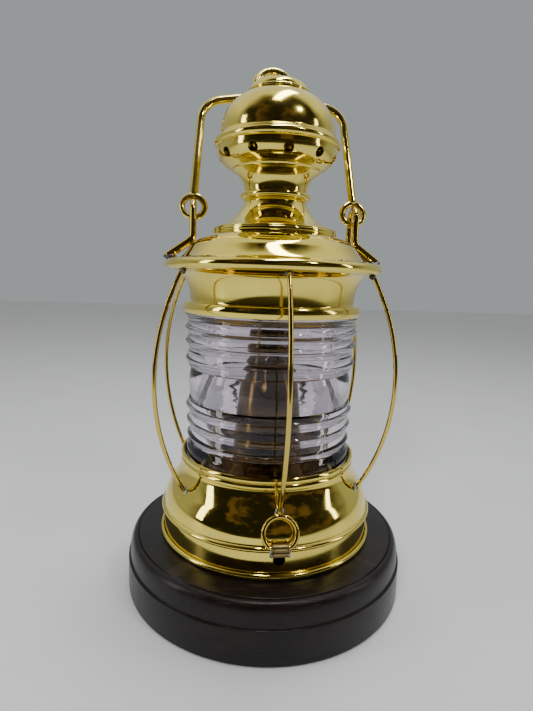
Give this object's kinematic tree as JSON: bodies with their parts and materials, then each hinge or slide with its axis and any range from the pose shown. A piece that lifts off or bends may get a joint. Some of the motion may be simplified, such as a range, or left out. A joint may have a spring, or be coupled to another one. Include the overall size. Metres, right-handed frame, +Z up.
{
  "type": "ship lantern",
  "caption": "Brass ship's oil lantern with a ribbed glass lens, bowed wire guards, swinging bail, vented chimney and lashing ring, on a dark turned wood plinth.",
  "frame": {"origin": "centre of the felt pad's underside, on the surface the lantern stands on", "axes": "+Z up along the lantern's axis; the front, with the lashing ring, faces -Y; the bail's eyes lie on X"},
  "size_m": [0.233, 0.233, 0.4335],
  "materials": {
    "polished_brass": "polished",
    "bail_brass": "polished, rubbed by the hand",
    "wire_brass": "drawn wire, polished",
    "dull_brass": "dull, handled",
    "burner_brass": "polished, heat stained",
    "lens_glass": "pressed clear glass with a faint lilac tint",
    "plinth_wood": "turned hardwood, dark stained, waxed",
    "felt": "baize",
    "gasket": "matt",
    "bolt_steel": "zinc plated",
    "solder": "soft solder, dull grey",
    "wick_cotton": "woven cotton, singed at the top"
  },
  "bodies": {
    "lantern": {"felt_pad": "felt", "plinth": "plinth_wood", "plinth_bolts": "bolt_steel", "bolt_nuts": "dull_brass", "base_plate": "dull_brass", "base_skirt": "polished_brass", "base_shoulder": "polished_brass", "lens_seat": "polished_brass", "lower_gasket": "gasket", "lens": "lens_glass", "upper_gasket": "gasket", "neck_casing": "polished_brass", "cap_dome": "polished_brass", "cap_rim": "polished_brass", "cap_mouth": "polished_brass", "ears": "wire_brass", "guard_front": "wire_brass", "guard_front_right": "wire_brass", "guard_back_right": "wire_brass", "guard_back": "wire_brass", "guard_back_left": "wire_brass", "guard_front_left": "wire_brass", "guard_solder": "solder", "ear_solder": "solder", "ring_strap": "dull_brass", "fount": "dull_brass", "filler_cap": "dull_brass", "burner_seat": "burner_brass", "burner_bell": "burner_brass", "flame_tube": "burner_brass", "wick_tube": "dull_brass"},
    "chimney": {"chimney_collar": "polished_brass", "draft_tube": "dull_brass", "chimney_flare": "polished_brass", "waist_bead": "polished_brass", "chimney_bowl": "polished_brass", "hood": "polished_brass", "hood_roll": "polished_brass", "finial": "polished_brass", "finial_button": "polished_brass"},
    "bail": {"bail": "bail_brass"},
    "lashing_ring": {"lashing_ring": "wire_brass"},
    "wick": {"wick": "wick_cotton"},
    "wick_shaft": {"wick_shaft": "dull_brass", "wick_knob": "burner_brass"}
  },
  "joints": [
    {"name": "bail_swing", "type": "hinge", "parent": "lantern", "child": "bail", "pos_m": [0, 0, 0.30606], "axis": [1, 0, 0], "range_deg": [-90, 126]},
    {"name": "chimney_turn", "type": "hinge", "parent": "lantern", "child": "chimney", "pos_m": [0, 0, 0.2918], "axis": [0, 0, 1], "range_deg": [-25, 0]},
    {"name": "ring_swing", "type": "hinge", "parent": "lantern", "child": "lashing_ring", "pos_m": [0, -0.09085, 0.0719], "axis": [1, 0, 0], "range_deg": [0, 185]},
    {"name": "wick_turn", "type": "hinge", "parent": "lantern", "child": "wick_shaft", "pos_m": [0.0047, 0, 0.1255], "axis": [0, 1, 0], "range_deg": [0, 200]},
    {"name": "wick_rise", "type": "slide", "parent": "lantern", "child": "wick", "axis": [0, 0, 1], "range_m": [0, 0.0122]}
  ],
  "couplings": [
    {"joint": "wick_turn", "follows": "wick_rise", "rad_per_m": 285.71}
  ]
}
